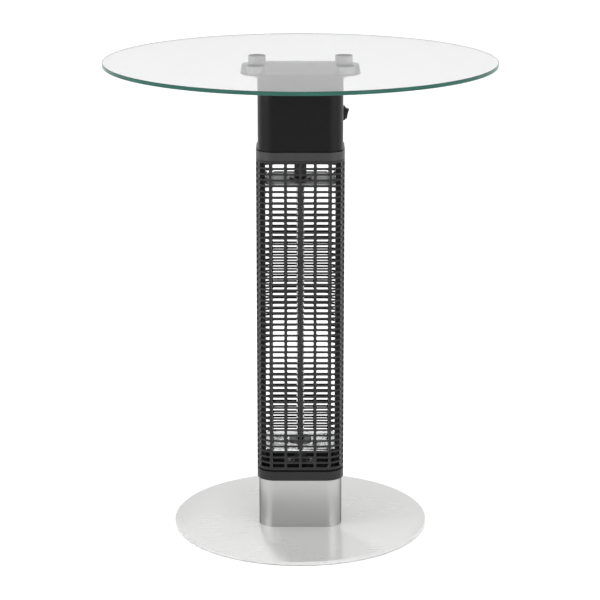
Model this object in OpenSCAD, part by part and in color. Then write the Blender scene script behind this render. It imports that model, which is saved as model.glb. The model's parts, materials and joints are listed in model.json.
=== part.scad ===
// Standing patio heater with a glass table top: carbon lamp in a slotted guard between two side posts.
// Millimetres, +Z up, +Y to the rear. The origin is on the ground, under the middle of the base plate.

/* [Table top] */
// Height of the table top above the ground
table_h = 741; // [640:1:900]
// Diameter of the glass top
glass_d = 600; // [450:10:800]
// Thickness of the glass top
glass_t = 6; // [5:1:10]
// Polished chamfer on the rims of the glass
glass_chamfer = 0.8; // [0.3:0.1:1.5]

/* [Top bracket] */
// Width of the plate under the glass
bracket_w = 180; // [160:2:240]
// Depth of the plate under the glass
bracket_d = 140; // [130:2:200]
// Thickness of the plate
bracket_t = 3; // [2:0.5:5]
// Corner radius of the plate
bracket_r = 34; // [10:1:50]
// Diameter of each metal puck bonded to the glass
puck_d = 27; // [18:1:32]
// Height of each puck
puck_h = 11; // [9:1:20]
// Distance of a puck's centre from the plate's side edge
puck_inset_x = 23; // [15:1:24]
// Distance of a puck's centre from the plate's front or rear edge
puck_inset_y = 16; // [13:0.5:17]

/* [Base] */
// Diameter of the base plate
base_d = 400; // [320:10:560]
// Thickness of the base plate
base_t = 6; // [6:1:12]
// Chamfer on the rims of the base plate
base_chamfer = 0.6; // [0.2:0.1:1.5]
// Diameter of each foot pad
pad_d = 24; // [15:1:40]
// Thickness of each foot pad
pad_t = 1; // [1:0.5:4]
// Number of foot pads
pad_count = 6; // [3:1:10]
// Distance of a pad's centre from the plate's edge
pad_inset = 24; // [20:1:60]

/* [Column] */
// Width of the column and of the head
column_w = 130; // [118:1:170]
// Depth of the column and of the head
column_d = 106; // [96:1:126]
// Corner radius of the column and of the head
corner_r = 26; // [21:1:32]
// Wall of the steel column
column_wall = 1.5; // [1:0.1:2.5]
// Height of the steel column that shows above the base plate
column_show = 78; // [65:1:140]
// Thickness of the steel plate welded into the foot of the column
flange_t = 8; // [6:1:12]
// Thickness of the steel plate welded into the top of the column
shelf_t = 3; // [2:0.5:5]

/* [Rings] */
// How far the rings and the guard stand out from the column
ring_over = 2.8; // [2.3:0.1:4]
// Height of the lower ring's outer face
lower_ring_h = 14.7; // [12:0.1:24]
// Height of the shadow line between the lower ring and the guard
shadow_h = 3.1; // [1:0.1:5]
// Depth of the shadow line
shadow_depth = 1.2; // [0.5:0.1:1.5]
// Height of the upper ring's outer face
upper_ring_h = 12.4; // [11:0.1:24]
// How far each ring's web is thick
web_t = 2.7; // [2:0.1:4]
// How far each ring reaches into the guard
spigot_h = 3.5; // [2:0.1:4]
// Wall of the part of each ring that reaches into the guard
spigot_t = 1.5; // [1:0.1:1.8]

/* [Guard] */
// Thickness of the slotted guard
guard_t = 2; // [1:0.1:2.5]
// Distance between slot rows, before it is fitted to a whole number of rows
row_pitch = 9.03; // [7:0.01:16]
// Height of the rung between two slots
rung_h = 2.6; // [2:0.1:5]
// Distance between upright bars, measured along the wall
bar_pitch = 22.9; // [14:0.1:34]
// Width of an upright bar
bar_w = 3.7; // [2:0.1:6]
// Plain band below the front slots
margin_low = 4; // [4:0.1:8]
// Plain band above the front slots
margin_top = 4.5; // [4:0.1:8]
// Least plain strip beside the seam between the two guard halves
seam_margin = 10; // [6:1:16]

/* [Side posts] */
// Width of a post across the heater
post_w = 9; // [8.5:0.1:9.5]
// Depth of a post from front to rear
post_d = 30; // [28:1:36]
// Gap between a post and the guard
post_gap = 2.6; // [2:0.1:3]
// Wall of the wire channel inside a post
post_wall = 1.6; // [1.2:0.1:2]

/* [Lamp] */
// Diameter of the quartz tube
tube_d = 12; // [10:0.5:14]
// Wall of the quartz tube
tube_wall = 1; // [0.8:0.1:1.5]
// Width of the carbon ribbon
ribbon_w = 8.6; // [4:0.2:8.6]
// Thickness of the carbon ribbon
ribbon_t = 0.8; // [0.4:0.1:1.5]
// Width of each square lamp holder
holder_w = 18.6; // [17:0.1:24]
// Sheet thickness of each lamp holder
holder_t = 1.2; // [0.8:0.1:1.6]
// Length of each ceramic cap
cap_l = 24; // [18:1:28]
// How far the quartz tube goes into each cap
cap_grip = 14; // [8:1:16]

/* [Reflectors] */
// Height of the lower reflector's face above the guard's lower end
reflector_low = 32; // [30:1:60]
// Distance of the upper reflector's face below the guard's upper end
reflector_top = 39; // [36:1:70]
// Sheet thickness of the reflectors
reflector_t = 1; // [0.6:0.1:1.5]
// Depth of the reflectors from front to rear
reflector_d = 96; // [70:1:98]
// Corner radius of the reflectors
reflector_r = 12; // [10:1:20]
// Height of the folded rims
reflector_rim = 2.5; // [1.5:0.1:5]
// Height of the side tabs
tab_h = 12; // [10:1:20]
// Diameter of the collar round the lamp
collar_d = 35; // [28:1:44]
// Thickness of the collar's flange
collar_t = 3; // [1:0.5:4]

/* [Head] */
// Height of the head that shows between the upper ring and the plate under the glass
head_show = 112.7; // [85:0.1:150]
// Wall of the head casing
head_wall = 2; // [1.5:0.1:3]
// Thickness of the head casing's top
head_top_t = 3; // [2:0.5:5]
// Thickness of the steel plate at the foot of the head
chassis_t = 3; // [2:0.5:5]
// Radius of the screw bosses inside the head casing
boss_r = 5; // [4.5:0.1:6]

/* [Switch] */
// Height of the switch's middle below the top of the head casing
switch_drop = 61; // [30:1:75]
// Height of the switch bezel
bezel_h = 21; // [20:0.5:24]
// Width of the switch bezel
bezel_w = 15; // [14.5:0.5:18]
// How far the bezel stands out from the head
bezel_t = 3.6; // [2:0.1:4]
// Tilt of the rocker to each side of its middle, in degrees
rocker_tilt = 13; // [8:1:14]

/* [Cable entry] */
// Height of the cable gland above the base plate
gland_z = 27; // [24:1:50]
// Diameter of the cable that the gland takes
gland_bore = 7; // [5:0.5:9]
// Thread diameter of the gland
gland_d = 16; // [14:1:20]

/* [Hidden] */
$fn = 64;
hex_fn = 6;
fit = 0.15;          // sliding clearance on each side
cut = 1;             // how far a cutting shape runs past the face it cuts

// Fasteners: thread diameter, head diameter, head height
m3 = [3, 5.5, 2];
m4 = [4, 7, 2.4];
m5 = [5, 8.6, 2.6];
m6 = [6, 11, 3.4];
m8_d = 8;
m8_head_d = 16;
m8_head_h = 4;
m8_key = 5;          // across the flats of the key socket
m5_sink_d = 10;
m5_sink_h = 2.5;

// Levels, from the ground up
z_base = pad_t;
z_column = z_base + base_t;
z_flange_top = z_column + flange_t;
z_lower_ring = z_column + column_show;
z_floor = z_lower_ring + lower_ring_h;
z_shelf_top = z_floor - web_t;
z_guard = z_floor + shadow_h;
z_glass = table_h - glass_t;
z_puck = z_glass - puck_h;
z_bracket = z_puck - bracket_t;
z_upper_ring_top = z_bracket - head_show;
z_guard_top = z_upper_ring_top - upper_ring_h;
z_chassis = z_upper_ring_top - upper_ring_h / 2;
z_chassis_top = z_chassis + chassis_t;
z_ceiling = z_chassis - web_t;
z_switch = z_bracket - switch_drop;

// Outlines
guard_w = column_w + 2 * ring_over;
guard_d = column_d + 2 * ring_over;
guard_r = corner_r + ring_over;
guard_h = z_guard_top - z_guard;
spigot_outset = ring_over - guard_t - fit;

// Side posts
post_x = guard_w / 2 - guard_t - post_gap - post_w / 2;
post_face = post_x - post_w / 2;
post_h = z_chassis - z_shelf_top;
port_inset = 5;      // from a post's end to the middle of its screw hole
channel_inset = 9;   // from a post's end to its wire channel
port_y = post_d / 2 - port_inset;
channel_d = post_d - 2 * channel_inset;

// Guard pattern
mid_r = guard_r - guard_t / 2;
flat_x = guard_w / 2 - guard_r;
flat_y = guard_d / 2 - guard_r;
bend_len = mid_r * PI / 2;
half_run = flat_x + bend_len + flat_y;
slot_rows = round((guard_h - margin_low - margin_top + rung_h) / row_pitch);
slot_pitch = (guard_h - margin_low - margin_top + rung_h) / slot_rows;
slot_h = slot_pitch - rung_h;
slot_columns = floor((half_run - seam_margin) / bar_pitch);

// Lamp
holder_in = holder_w - 2 * holder_t;
holder_foot_w = 46;
holder_screw_x = 15;
holder_foot_low = z_floor;
holder_foot_top = z_ceiling + web_t;
holder_gap = 0.5;    // from a holder's mouth to the collar
cap_fit = 0.1;
cap_w = holder_in - 2 * cap_fit;
cap_low = holder_foot_low + holder_t;
cap_top = holder_foot_top - holder_t;
tube_low = cap_low + cap_l - cap_grip;
tube_top = cap_top - cap_l + cap_grip;
seal_l = 4;
z_reflector_low = z_guard + reflector_low;
z_reflector_top = z_guard_top - reflector_top;
collar_neck = 2;
collar_lip = 4.5;
lamp_hole_r = collar_d / 2 - collar_lip;
holder_low_h = z_reflector_low - collar_neck - holder_gap - holder_foot_low;
holder_top_h = holder_foot_top - z_reflector_top - reflector_t - collar_t - holder_gap;
tab_thread = 6;
tab_screw_low = z_reflector_low - (tab_h + reflector_t) / 2;
tab_screw_top = z_reflector_top + (tab_h + reflector_t) / 2;

// Head
head_h = z_bracket - z_chassis;
boss_sink = 0.8;     // how far a boss runs into the wall and the top
boss_reach = corner_r - head_wall - boss_r + boss_sink;
boss_x = column_w / 2 - corner_r + boss_reach * cos(45);
boss_y = column_d / 2 - corner_r + boss_reach * sin(45);
boss_h = head_h - chassis_t - head_top_t + boss_sink;
thread_l = 14;

// Switch, in its own frame: x out of the head's side face, z up the face
switch_body_h = 18.8;
switch_body_w = 12.8;
switch_body_l = 14;
rocker_l = 16;
rocker_w = 10.6;
rocker_out = 1.5;    // pivot, out from the side face
rocker_top = 6.3;    // rocker's ends above the pivot
rocker_dip = 0.6;
rocker_foot = 4;
rocker_draft = 0.7;
rocker_taper = 1.5;
pocket_l = 17.4;
pocket_w = 11.3;
pocket_depth = 9;
pin_r = 1.2;
pin_l = 0.5;
pin_fit = 0.05;

// Cable entry
gland_hex = gland_d + 7;   // across the corners
gland_hex_t = 5;
gland_inside = 12;
gland_neck = 7;

// Wiring bay
shelf_open_w = 50;
shelf_open_d = 44;
wire_r = 1.3;
block_at = [-26, 8];
tip_at = [26, 8];
block_size = [34, 18, 16];
tip_size = [26, 18, 24];
tip_side_w = 9;
bay_seat = 11;       // screw seats above the flange
bay_screw_gap = 5;
well_depth = 5;
cutout_at = [-34, 0];
cutout_r = 8;
cutout_h = 9;
ear_x = 12;
ring_screw_inset = [21, 15];
ring_screw_x = column_w / 2 - ring_screw_inset.x;
ring_screw_y = column_d / 2 - ring_screw_inset.y;
base_screw_inset = 23;
base_screw_x = column_w / 2 - base_screw_inset;
base_screw_y = column_d / 2 - base_screw_inset;
puck_x = bracket_w / 2 - puck_inset_x;
puck_y = bracket_d / 2 - puck_inset_y;
puck_cap = 3;        // solid metal at the top of a puck
lead_x = post_x;
lead_y = 2.5;
block_top = z_flange_top + block_size.z - well_depth;
block_pitch = block_size.x / 3;
bay_top = z_shelf_top - shelf_t - 14;
blade_z = 6;         // switch blades above and below the middle one
blade_t = 0.8;
blade_l = 8;
terminal_x = column_w / 2 - switch_body_l - blade_l + wire_r;
spade_y = 4;         // the cut-out's blades, either side of its middle
spade_h = 7;
spade_top = z_chassis_top + cutout_h + spade_h;

// ---------- shared shapes ----------

// Flat rounded rectangle
module outline(w, d, r) {
    square([w - 2 * r, d], center = true);
    square([w, d - 2 * r], center = true);
    for (x = [-1, 1], y = [-1, 1])
        translate([x * (w / 2 - r), y * (d / 2 - r)]) circle(r);
}

// The column's outline, moved out by o (or in, where o is negative)
module column_outline(o) {
    outline(column_w + 2 * o, column_d + 2 * o, corner_r + o);
}

// An upright wall between two column outlines
module column_wall_between(inner, outer, h) {
    linear_extrude(h) difference() {
        column_outline(outer);
        column_outline(inner);
    }
}

// Copies at the four corners of a rectangle
module at_corners(x, y) {
    for (sx = [-1, 1], sy = [-1, 1]) translate([sx * x, sy * y, 0]) children();
}

// Screw with a low round head and a cross recess, seated at z = 0 with its shank downwards
module pan_screw(size, l) {
    difference() {
        union() {
            translate([0, 0, -l]) cylinder(d = size[0], h = l);
            cylinder(d = size[1], h = size[2] * 0.6);
            translate([0, 0, size[2] * 0.6])
                cylinder(d1 = size[1], d2 = size[1] * 0.7, h = size[2] * 0.4);
        }
        for (a = [0, 90])
            rotate(a) translate([0, 0, size[2]])
                cube([size[1] * 0.5, size[0] * 0.2, size[2]], center = true);
    }
}

// Screw with a countersunk head: its flat face is at z = 0 and its shank runs upwards
module sunk_screw(d, head_d, head_h, l, key) {
    difference() {
        union() {
            cylinder(d1 = head_d, d2 = d, h = head_h);
            cylinder(d = d, h = l);
        }
        translate([0, 0, -cut]) cylinder(d = key / cos(30), h = cut + head_h * 0.6, $fn = hex_fn);
    }
}

function unit(v) = v / norm(v);

// Direction of a wire at one of its points, half way between the runs that meet there
function wire_dir(points, i) =
    let (before = i > 0 ? unit(points[i] - points[i - 1]) : [0, 0, 0])
    let (after = i < len(points) - 1 ? unit(points[i + 1] - points[i]) : [0, 0, 0])
    unit(before + after);

// Insulated wire swept along a list of points, none of which leaves along y
module wire(points) {
    sides = 8;
    last = sides * (len(points) - 1);
    rims = [
        for (i = [0 : len(points) - 1])
            let (along = wire_dir(points, i))
            let (side = unit(cross(along, [0, 1, 0])))
            let (up = cross(side, along))
            for (k = [0 : sides - 1])
                let (a = k * 360 / sides)
                points[i] + wire_r * (side * cos(a) + up * sin(a))
    ];
    walls = [
        for (i = [0 : len(points) - 2], k = [0 : sides - 1])
            let (n = (k + 1) % sides)
            [i * sides + k, i * sides + n, (i + 1) * sides + n, (i + 1) * sides + k]
    ];
    start_face = [for (k = [sides - 1 : -1 : 0]) k];
    end_face = [for (k = [0 : sides - 1]) last + k];
    polyhedron(rims, concat([start_face], walls, [end_face]));
}

// ---------- base ----------

module foot_pads() {
    color("dimgray")
        for (i = [0 : pad_count - 1])
            rotate((i + 0.5) * 360 / pad_count)
                translate([base_d / 2 - pad_inset, 0, 0]) cylinder(d = pad_d, h = pad_t);
}

module base_plate() {
    r = base_d / 2;
    c = base_chamfer;
    color("silver") difference() {
        translate([0, 0, z_base])
            rotate_extrude()
                polygon([[0, 0], [r - c, 0], [r, c], [r, base_t - c], [r - c, base_t], [0, base_t]]);
        at_corners(base_screw_x, base_screw_y) {
            translate([0, 0, z_base]) cylinder(d1 = m8_head_d, d2 = m8_d, h = m8_head_h);
            translate([0, 0, z_base]) cylinder(d = m8_d, h = base_t + cut);
        }
    }
}

module base_screws() {
    color("gray") at_corners(base_screw_x, base_screw_y)
        translate([0, 0, z_base]) sunk_screw(m8_d, m8_head_d, m8_head_h, base_t + flange_t, m8_key);
}

module column_flange() {
    color("gray") translate([0, 0, z_column]) difference() {
        linear_extrude(flange_t) column_outline(-column_wall);
        at_corners(base_screw_x, base_screw_y)
            translate([0, 0, -cut]) cylinder(d = m8_d, h = flange_t + 2 * cut);
        translate([0, 0, flange_t]) bay_screw_places() cylinder(d = m3[0], h = 2 * flange_t, center = true);
    }
}

module lower_column() {
    color("silver") difference() {
        translate([0, 0, z_column]) column_wall_between(-column_wall, 0, z_shelf_top - z_column);
        translate([0, column_d / 2, z_column + gland_z]) rotate([90, 0, 0])
            cylinder(d = gland_d, h = 4 * column_wall, center = true);
    }
}

module column_shelf() {
    color("gray") translate([0, 0, z_shelf_top - shelf_t]) difference() {
        linear_extrude(shelf_t) column_outline(-column_wall);
        translate([0, 0, -cut]) {
            linear_extrude(shelf_t + 2 * cut) square([shelf_open_w, shelf_open_d], center = true);
            at_corners(post_x, port_y) cylinder(d = m5[0], h = shelf_t + 2 * cut);
            at_corners(ring_screw_x, ring_screw_y) cylinder(d = m4[0], h = shelf_t + 2 * cut);
            for (x = [-lead_x, lead_x])
                translate([x, 0, 0]) linear_extrude(shelf_t + 2 * cut) wire_way();
        }
    }
}

// The opening through which the wires enter a post
module wire_way() {
    square([post_w - 2 * post_wall, channel_d - 2], center = true);
}

// ---------- wiring bay in the lower column ----------

// Two screws for the terminal block and two for the tip-over switch
module bay_screw_places() {
    for (y = [-bay_screw_gap, bay_screw_gap]) {
        translate([block_at.x, block_at.y + y, 0]) children();
        translate([tip_at.x, tip_at.y + y, 0]) children();
    }
}

module bay_screws() {
    color("silver") translate([0, 0, z_flange_top + bay_seat])
        bay_screw_places() pan_screw(m3, bay_seat + flange_t - cut);
}

module terminal_block() {
    rise = 6;
    shoulder = 4;
    well_r = 2;
    color("ivory") translate([block_at.x, block_at.y, z_flange_top]) difference() {
        union() {
            translate([0, 0, (block_size.z - rise) / 2])
                cube([block_size.x, block_size.y, block_size.z - rise], center = true);
            translate([0, 0, block_size.z / 2])
                cube([block_size.x, block_size.y - 2 * shoulder, block_size.z], center = true);
        }
        for (y = [-bay_screw_gap, bay_screw_gap]) translate([0, y, -cut]) {
            cylinder(d = m3[0], h = block_size.z + 2 * cut);
            translate([0, 0, cut + bay_seat]) cylinder(d = m3[1] + 2 * fit, h = block_size.z);
        }
        translate([0, 0, block_size.z - well_depth])
            for (x = [-block_pitch, block_pitch])
                translate([x, 0, 0]) cylinder(r = well_r, h = well_depth + cut);
    }
}

module tip_over_switch() {
    color("dimgray") translate([tip_at.x, tip_at.y, z_flange_top]) difference() {
        union() {
            translate([0, 0, bay_seat / 2]) cube([tip_size.x, tip_size.y, bay_seat], center = true);
            for (side = [-1, 1])
                translate([side * (tip_size.x - tip_side_w) / 2, 0, tip_size.z / 2])
                    cube([tip_side_w, tip_size.y, tip_size.z], center = true);
        }
        for (y = [-bay_screw_gap, bay_screw_gap])
            translate([0, y, -cut]) cylinder(d = m3[0], h = tip_size.z);
    }
}

// ---------- cable entry ----------

// Cable entry shapes lie along z here, pointing out of the column, and are turned to the rear when placed
module on_rear_wall() {
    translate([0, column_d / 2, z_column + gland_z]) rotate([-90, 0, 0]) children();
}

module cable_gland() {
    l = gland_inside + gland_hex_t + gland_neck;
    color("dimgray") on_rear_wall() difference() {
        union() {
            cylinder(d = gland_hex, h = gland_hex_t, $fn = hex_fn);
            translate([0, 0, -gland_inside]) cylinder(d = gland_d, h = l);
        }
        translate([0, 0, -gland_inside - cut]) cylinder(d = gland_bore + 1, h = l + 2 * cut);
    }
}

module gland_cap_nut() {
    hex_h = 9;
    dome_h = 5;
    color("dimgray") on_rear_wall() translate([0, 0, gland_hex_t]) difference() {
        union() {
            cylinder(d = gland_hex - 1, h = hex_h, $fn = hex_fn);
            translate([0, 0, hex_h]) cylinder(d1 = gland_d + 3, d2 = gland_bore + 5, h = dome_h);
        }
        translate([0, 0, -cut]) cylinder(d = gland_d, h = gland_neck + cut);
        cylinder(d = gland_bore, h = hex_h + dome_h + cut);
    }
}

module gland_lock_nut() {
    nut_t = 5;
    color("dimgray") on_rear_wall() translate([0, 0, -column_wall - nut_t]) difference() {
        cylinder(d = gland_hex, h = nut_t, $fn = hex_fn);
        translate([0, 0, -cut]) cylinder(d = gland_d, h = nut_t + 2 * cut);
    }
}

// ---------- rings ----------

module post_openings(h) {
    for (side = [-1, 1])
        translate([side * post_x, 0, 0]) linear_extrude(h)
            square([post_w + 2 * fit, post_d + 2 * fit], center = true);
}

module lower_ring() {
    skirt = z_shelf_top - z_lower_ring;
    color("black") difference() {
        union() {
            translate([0, 0, z_lower_ring]) column_wall_between(fit, ring_over, skirt);
            translate([0, 0, z_shelf_top]) linear_extrude(web_t) column_outline(ring_over);
            translate([0, 0, z_floor])
                column_wall_between(spigot_outset - spigot_t, ring_over - shadow_depth, shadow_h);
            translate([0, 0, z_guard])
                column_wall_between(spigot_outset - spigot_t, spigot_outset, spigot_h);
        }
        translate([0, 0, z_shelf_top - cut]) {
            post_openings(web_t + 2 * cut);
            at_corners(ring_screw_x, ring_screw_y) cylinder(d = m4[0], h = web_t + 2 * cut);
            for (x = [-holder_screw_x, holder_screw_x])
                translate([x, 0, 0]) cylinder(d = m4[0], h = web_t + 2 * cut);
            cylinder(r = 2 * wire_r, h = web_t + 2 * cut);
        }
    }
}

module ring_screws() {
    color("black") translate([0, 0, z_floor])
        at_corners(ring_screw_x, ring_screw_y) pan_screw(m4, web_t + shelf_t + 1);
}

module upper_ring() {
    skirt = z_upper_ring_top - z_chassis;
    color("black") difference() {
        union() {
            translate([0, 0, z_chassis]) column_wall_between(fit, ring_over, skirt);
            translate([0, 0, z_ceiling]) linear_extrude(web_t) column_outline(ring_over);
            translate([0, 0, z_guard_top])
                column_wall_between(spigot_outset - spigot_t, ring_over, z_ceiling - z_guard_top);
            translate([0, 0, z_guard_top - spigot_h])
                column_wall_between(spigot_outset - spigot_t, spigot_outset, spigot_h);
        }
        translate([0, 0, z_ceiling - cut]) {
            post_openings(web_t + 2 * cut);
            at_corners(boss_x, boss_y) cylinder(d = m5[0], h = web_t + 2 * cut);
            linear_extrude(web_t + 2 * cut)
                square([holder_foot_w + 2 * fit, holder_w + 2 * fit], center = true);
        }
    }
}

// ---------- guard ----------

// How far the wall has turned, s along it from the middle of the front, in degrees
function wall_turn(s) = min(max((s - flat_x) / mid_r * 180 / PI, 0), 90);

// Point on the middle of the wall, s along it from the middle of the front
function wall_point(s) =
    s < flat_x ? [s, -flat_y - mid_r]
    : s < flat_x + bend_len
        ? [flat_x + mid_r * sin(wall_turn(s)), -flat_y - mid_r * cos(wall_turn(s))]
        : [flat_x + mid_r, s - flat_x - bend_len - flat_y];

// Half of the guard, open to the rear, with its lowest slots at height start
module guard_half(start, rows) {
    difference() {
        linear_extrude(guard_h) difference() {
            outline(guard_w, guard_d, guard_r);
            outline(guard_w - 2 * guard_t, guard_d - 2 * guard_t, guard_r - guard_t);
            translate([-guard_w, 0]) square([2 * guard_w, guard_d]);
        }
        for (side = [0, 1], column = [0 : slot_columns - 1]) {
            from = wall_point(column * bar_pitch + bar_w / 2);
            to = wall_point((column + 1) * bar_pitch - bar_w / 2);
            w = norm(to - from);
            mirror([side, 0, 0])
                translate([(from.x + to.x) / 2, (from.y + to.y) / 2, start])
                    rotate(atan2(to.y - from.y, to.x - from.x))
                        for (row = [0 : rows - 1])
                            translate([-w / 2, -2 * guard_t, row * slot_pitch])
                                cube([w, 4 * guard_t, slot_h]);
        }
    }
}

module guard_front() {
    color("black") translate([0, 0, z_guard]) guard_half(margin_low, slot_rows);
}

// The rear rungs lie half a row lower, behind the gaps of the front
module guard_rear() {
    color("black") translate([0, 0, z_guard])
        rotate(180) guard_half(margin_low + slot_pitch / 2, slot_rows - 1);
}

// ---------- side posts ----------

module side_post(side) {
    wide = post_w - 2 * post_wall;
    color("black") difference() {
        translate([side * post_x, 0, z_shelf_top]) linear_extrude(post_h) difference() {
            square([post_w, post_d], center = true);
            square([wide, channel_d], center = true);
            for (y = [-port_y, port_y]) translate([0, y]) circle(d = m5[0]);
        }
        for (z = [tab_screw_low, tab_screw_top], y = [-port_y, port_y])
            translate([side * post_face, y, z]) rotate([0, 90 * side, 0])
                translate([0, 0, -cut]) cylinder(d = m4[0], h = tab_thread + 2 * cut);
    }
}

module side_post_left() { side_post(-1); }
module side_post_right() { side_post(1); }

module post_screws() {
    color("silver") at_corners(post_x, port_y) {
        translate([0, 0, z_shelf_top - shelf_t]) mirror([0, 0, 1]) pan_screw(m5, shelf_t + thread_l);
        translate([0, 0, z_chassis_top]) pan_screw(m5, chassis_t + thread_l);
    }
}

// ---------- reflectors ----------

// A reflector with its polished face at z = 0, facing up, and its folds downwards
module reflector() {
    w = 2 * post_face;
    tab_d = post_d - 2;
    difference() {
        union() {
            translate([0, 0, -reflector_t]) linear_extrude(reflector_t) outline(w, reflector_d, reflector_r);
            for (side = [-1, 1]) {
                translate([side * (w - reflector_t) / 2, 0, -tab_h / 2])
                    cube([reflector_t, tab_d, tab_h], center = true);
                translate([0, side * (reflector_d - reflector_t) / 2, -reflector_rim / 2])
                    cube([w - 2 * reflector_r, reflector_t, reflector_rim], center = true);
            }
        }
        cylinder(r = lamp_hole_r, h = 4 * reflector_t, center = true);
        for (y = [-port_y, port_y])
            translate([0, y, -(tab_h + reflector_t) / 2]) rotate([0, 90, 0])
                cylinder(d = m4[0], h = w + 2 * cut, center = true);
    }
}

module lower_reflector() {
    color("gainsboro") translate([0, 0, z_reflector_low]) reflector();
}

module upper_reflector() {
    color("gray") translate([0, 0, z_reflector_top]) mirror([0, 0, 1]) reflector();
}

module reflector_screws() {
    color("silver")
        for (side = [-1, 1], y = [-port_y, port_y], z = [tab_screw_low, tab_screw_top])
            translate([side * (post_face - reflector_t), y, z]) rotate([0, -90 * side, 0])
                pan_screw(m4, reflector_t + tab_thread);
}

// Ring that closes the gap between the lamp and a reflector, with its flange above the sheet
module lamp_collar() {
    difference() {
        union() {
            cylinder(d = collar_d, h = collar_t);
            translate([0, 0, -collar_neck]) cylinder(r = lamp_hole_r, h = collar_neck);
        }
        translate([0, 0, -collar_neck - cut])
            cylinder(d = tube_d + 1, h = collar_neck + collar_t + 2 * cut);
    }
}

module lamp_collars() {
    color("dimgray") {
        translate([0, 0, z_reflector_low]) lamp_collar();
        translate([0, 0, z_reflector_top + reflector_t]) lamp_collar();
    }
}

// ---------- lamp ----------

// A square holder with its foot at z = 0 and its mouth upwards
module lamp_holder(h) {
    difference() {
        union() {
            translate([0, 0, holder_t / 2]) cube([holder_foot_w, holder_w, holder_t], center = true);
            translate([0, 0, h / 2]) cube([holder_w, holder_w, h], center = true);
        }
        translate([0, 0, holder_t + h / 2]) cube([holder_in, holder_in, h], center = true);
        translate([0, 0, -cut]) {
            cylinder(r = 2 * wire_r, h = holder_t + 2 * cut);
            for (x = [-holder_screw_x, holder_screw_x])
                translate([x, 0, 0]) cylinder(d = m4[0], h = holder_t + 2 * cut);
        }
    }
}

module lamp_holder_lower() {
    color("dimgray") translate([0, 0, holder_foot_low]) lamp_holder(holder_low_h);
}

module lamp_holder_upper() {
    color("dimgray") translate([0, 0, holder_foot_top]) mirror([0, 0, 1]) lamp_holder(holder_top_h);
}

module holder_screws() {
    color("silver") for (x = [-holder_screw_x, holder_screw_x]) {
        translate([x, 0, cap_low]) pan_screw(m4, holder_t + web_t + 1);
        translate([x, 0, cap_top]) mirror([0, 0, 1]) pan_screw(m4, holder_t + chassis_t);
    }
}

// A ceramic cap with its closed end at z = 0 and the tube's socket upwards
module lamp_cap() {
    difference() {
        translate([0, 0, cap_l / 2]) cube([cap_w, cap_w, cap_l], center = true);
        translate([0, 0, cap_l - cap_grip]) cylinder(d = tube_d, h = cap_grip + cut);
        translate([0, 0, -cut]) cylinder(r = wire_r, h = cap_l);
    }
}

module lamp_cap_lower() {
    color("ivory") translate([0, 0, cap_low]) lamp_cap();
}

module lamp_cap_upper() {
    color("ivory") translate([0, 0, cap_top]) mirror([0, 0, 1]) lamp_cap();
}

module quartz_tube() {
    color("white", 0.4) difference() {
        translate([0, 0, tube_low]) cylinder(d = tube_d, h = tube_top - tube_low);
        translate([0, 0, tube_low + seal_l])
            cylinder(d = tube_d - 2 * tube_wall, h = tube_top - tube_low - 2 * seal_l);
    }
}

module carbon_filament() {
    pole_d = 3;
    pole_l = 12;
    low = tube_low + seal_l;
    high = tube_top - seal_l;
    color("black") {
        translate([0, 0, (low + high) / 2])
            cube([ribbon_w, ribbon_t, high - low - 2 * pole_l + 2], center = true);
        translate([0, 0, low]) cylinder(d = pole_d, h = pole_l);
        translate([0, 0, high - pole_l]) cylinder(d = pole_d, h = pole_l);
    }
}

// ---------- head ----------

module head_chassis() {
    color("gray") translate([0, 0, z_chassis]) difference() {
        linear_extrude(chassis_t) column_outline(-head_wall - fit);
        translate([0, 0, -cut]) {
            at_corners(boss_x, boss_y) cylinder(d = m5[0], h = chassis_t + 2 * cut);
            at_corners(post_x, port_y) cylinder(d = m5[0], h = chassis_t + 2 * cut);
            for (x = [-holder_screw_x, holder_screw_x])
                translate([x, 0, 0]) cylinder(d = m4[0], h = chassis_t + 2 * cut);
            for (x = [-ear_x, ear_x])
                translate([cutout_at.x, cutout_at.y + x, 0]) cylinder(d = m3[0], h = chassis_t + 2 * cut);
            cylinder(r = 2 * wire_r, h = chassis_t + 2 * cut);
            translate([lead_x, 0, 0]) linear_extrude(chassis_t + 2 * cut) wire_way();
        }
    }
}

module chassis_screws() {
    color("silver") translate([0, 0, z_ceiling]) at_corners(boss_x, boss_y)
        mirror([0, 0, 1]) pan_screw(m5, web_t + chassis_t + thread_l);
}

module thermal_cutout() {
    ear_t = 1;
    ear_w = 6;
    color("silver") translate([cutout_at.x, cutout_at.y, z_chassis_top]) difference() {
        union() {
            translate([0, 0, ear_t / 2]) cube([ear_w, 2 * ear_x + ear_w, ear_t], center = true);
            cylinder(r = cutout_r, h = cutout_h);
            for (y = [-spade_y, spade_y])
                translate([0, y, cutout_h + spade_h / 2]) cube([5, blade_t, spade_h], center = true);
        }
        for (y = [-ear_x, ear_x])
            translate([0, y, -cut]) cylinder(d = m3[0], h = ear_t + 2 * cut);
    }
}

module cutout_screws() {
    color("silver") for (y = [-ear_x, ear_x])
        translate([cutout_at.x, cutout_at.y + y, z_chassis_top + 1]) pan_screw(m3, 1 + chassis_t);
}

module head_casing() {
    color("black") difference() {
        union() {
            translate([0, 0, z_chassis]) column_wall_between(-head_wall, 0, head_h - head_top_t);
            translate([0, 0, z_bracket - head_top_t]) linear_extrude(head_top_t) column_outline(0);
            translate([0, 0, z_chassis_top]) at_corners(boss_x, boss_y) cylinder(r = boss_r, h = boss_h);
        }
        at_corners(boss_x, boss_y) {
            translate([0, 0, z_chassis_top - cut]) cylinder(d = m5[0], h = thread_l + cut);
            translate([0, 0, z_bracket - thread_l]) cylinder(d = m5[0], h = thread_l + cut);
        }
        translate([column_w / 2, 0, z_switch])
            cube([4 * head_wall, switch_body_w + 2 * fit, switch_body_h + 2 * fit], center = true);
    }
}

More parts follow.
